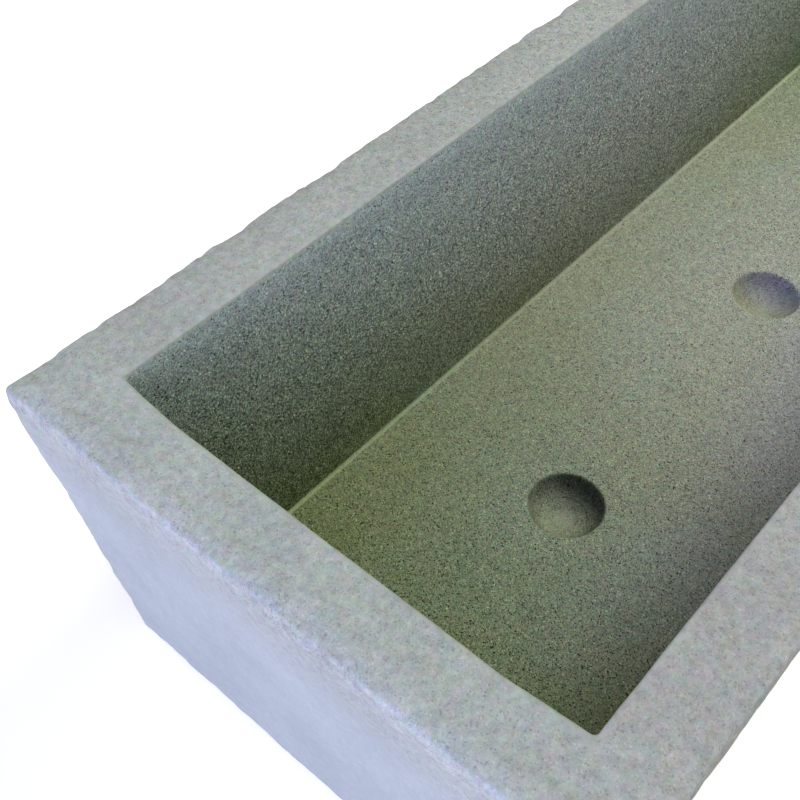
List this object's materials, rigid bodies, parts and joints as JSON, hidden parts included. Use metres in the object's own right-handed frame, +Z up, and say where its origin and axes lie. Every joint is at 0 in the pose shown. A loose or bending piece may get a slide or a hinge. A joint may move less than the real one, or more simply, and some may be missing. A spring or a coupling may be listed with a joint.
{
  "type": "trough planter",
  "caption": "Rectangular cast stone trough planter with thick battered walls, an open planting cavity and round drain dishes with knock-outs in its floor.",
  "frame": {"origin": "middle of the underside, on the surface that the trough stands on", "axes": "+X along the trough's length, +Y across its width, +Z up through the open top"},
  "size_m": [1.04, 0.36, 0.228],
  "materials": {
    "cast_stone": "dry matt cast stone with a fine sandy grain",
    "knockout_stone": "dry matt cast stone with a fine sandy grain"
  },
  "bodies": {
    "root": {"trough_body": "cast_stone", "drain_knockout_1": "knockout_stone", "drain_knockout_2": "knockout_stone", "drain_knockout_3": "knockout_stone"}
  },
  "joints": []
}
